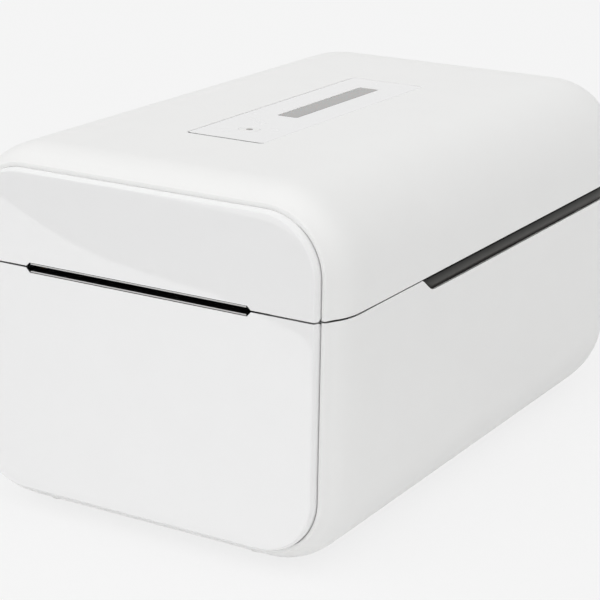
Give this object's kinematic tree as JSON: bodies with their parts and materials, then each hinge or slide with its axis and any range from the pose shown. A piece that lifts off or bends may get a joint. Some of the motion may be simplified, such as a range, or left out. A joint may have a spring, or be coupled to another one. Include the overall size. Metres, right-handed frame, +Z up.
{
  "type": "thermal label printer",
  "caption": "Free-standing label printer with a rear-hinged lid, drop-in roll bay, sliding roll guides and a geared platen under a sprung print head behind the front slot.",
  "frame": {"origin": "centre of the casing's footprint, level with the undersides of the rubber feet", "axes": "+X to the right seen from the front, +Y to the rear, +Z up; the label slot faces -Y"},
  "size_m": [0.18, 0.3, 0.158],
  "materials": {
    "casing_white": "fine satin moulded plastic, warm white",
    "panel_white": "smooth satin moulded plastic, white",
    "strip_white": "smooth semi-gloss white plastic",
    "window_grey": "translucent grey plastic",
    "frame_dark": "dark grey fine-textured plastic",
    "guide_dark": "dark grey smooth plastic",
    "blade_grey": "satin anodised",
    "steel_sheet": "zinc plated sheet",
    "steel_pin": "ground bright steel",
    "bronze": "sintered bronze",
    "pinion_brass": "machined brass",
    "gear_plastic": "natural acetal",
    "rubber_black": "matt rubber",
    "board_green": "solder mask",
    "part_black": "moulded black plastic",
    "port_metal": "nickel plated",
    "light_diffuser": "milky plastic",
    "button_white": "satin plastic",
    "sink_metal": "milled aluminium",
    "head_ceramic": "glazed substrate"
  },
  "bodies": {
    "base": {"base_shell": "casing_white", "lower_front_panel": "panel_white", "deck_frame": "frame_dark", "roll_bay": "frame_dark", "lower_tear_bar": "blade_grey", "mechanism_frame": "steel_sheet", "platen_bushes": "bronze", "feed_motor": "steel_sheet", "idler_axle": "steel_pin", "paper_guide": "steel_sheet", "gap_sensor": "part_black", "latch_springs": "steel_pin", "main_board": "board_green", "board_parts": "part_black", "power_jack": "part_black", "data_port": "port_metal", "switch_housing": "part_black", "rubber_feet": "rubber_black", "base_screws": "steel_pin", "hinge_pins": "steel_pin", "guide_rails": "steel_pin"},
    "platen": {"platen_shaft": "steel_pin", "platen_sleeve": "rubber_black", "platen_gear": "gear_plastic"},
    "idler": {"idler_gear": "gear_plastic"},
    "motor_rotor": {"motor_pinion": "pinion_brass"},
    "latch": {"latch_bar": "steel_sheet"},
    "guide_l": {"guide_left": "guide_dark"},
    "guide_r": {"guide_right": "guide_dark"},
    "guide_gear": {"guide_pinion": "gear_plastic"},
    "rocker": {"power_rocker": "part_black"},
    "lid": {"lid_shell": "casing_white", "upper_front_panel": "panel_white", "control_strip": "strip_white", "status_window": "window_grey", "light_guide": "light_diffuser", "control_board": "board_green", "lid_liner": "frame_dark", "upper_tear_bar": "blade_grey", "head_carrier": "steel_sheet", "latch_pins": "steel_pin", "head_springs": "steel_pin", "lid_screws": "steel_pin"},
    "print_head": {"head_sink": "sink_metal", "head_ceramic": "head_ceramic", "head_driver_cover": "part_black"},
    "button": {"feed_button": "button_white"}
  },
  "joints": [
    {"name": "lid_hinge", "type": "hinge", "parent": "base", "child": "lid", "pos_m": [0, 0.147, 0.1063], "axis": [-1, 0, 0], "range_deg": [0, 85]},
    {"name": "head_swing", "type": "hinge", "parent": "lid", "child": "print_head", "pos_m": [0, -0.1, 0.117], "axis": [-1, 0, 0], "range_deg": [0, 4], "stiffness_Nm_per_rad": 20, "springref_deg": -2.86, "deforming": ["head_springs"]},
    {"name": "feed_button_press", "type": "slide", "parent": "lid", "child": "button", "axis": [0, 0, -1], "range_m": [0, 0.0005], "stiffness_N_per_m": 400, "springref_m": -0.0008},
    {"name": "platen_turn", "type": "hinge", "parent": "base", "child": "platen", "pos_m": [0, -0.128, 0.1014], "axis": [1, 0, 0], "continuous": true},
    {"name": "idler_turn", "type": "hinge", "parent": "base", "child": "idler", "pos_m": [0, -0.1196, 0.08685], "axis": [1, 0, 0], "continuous": true},
    {"name": "motor_turn", "type": "hinge", "parent": "base", "child": "motor_rotor", "pos_m": [0, -0.11338, 0.067], "axis": [1, 0, 0], "continuous": true},
    {"name": "latch_engage", "type": "hinge", "parent": "base", "child": "latch", "pos_m": [0, -0.098, 0.086], "axis": [1, 0, 0], "range_deg": [0, 10]},
    {"name": "guide_right_slide", "type": "slide", "parent": "base", "child": "guide_r", "axis": [-1, 0, 0], "range_m": [0, 0.04]},
    {"name": "guide_left_slide", "type": "slide", "parent": "base", "child": "guide_l", "axis": [1, 0, 0], "range_m": [0, 0.04]},
    {"name": "guide_pinion_turn", "type": "hinge", "parent": "base", "child": "guide_gear", "pos_m": [0, -0.011, 0.01], "axis": [0, 0, 1], "range_deg": [0, 287]},
    {"name": "power_rocker_tip", "type": "hinge", "parent": "base", "child": "rocker", "pos_m": [0.036, 0.1448, 0.063], "axis": [1, 0, 0], "range_deg": [0, 12]}
  ],
  "couplings": [
    {"joint": "idler_turn", "follows": "platen_turn", "ratio": -2},
    {"joint": "motor_turn", "follows": "platen_turn", "ratio": 6.6667},
    {"joint": "guide_left_slide", "follows": "guide_right_slide", "ratio": 1},
    {"joint": "guide_pinion_turn", "follows": "guide_right_slide", "rad_per_m": 125}
  ]
}
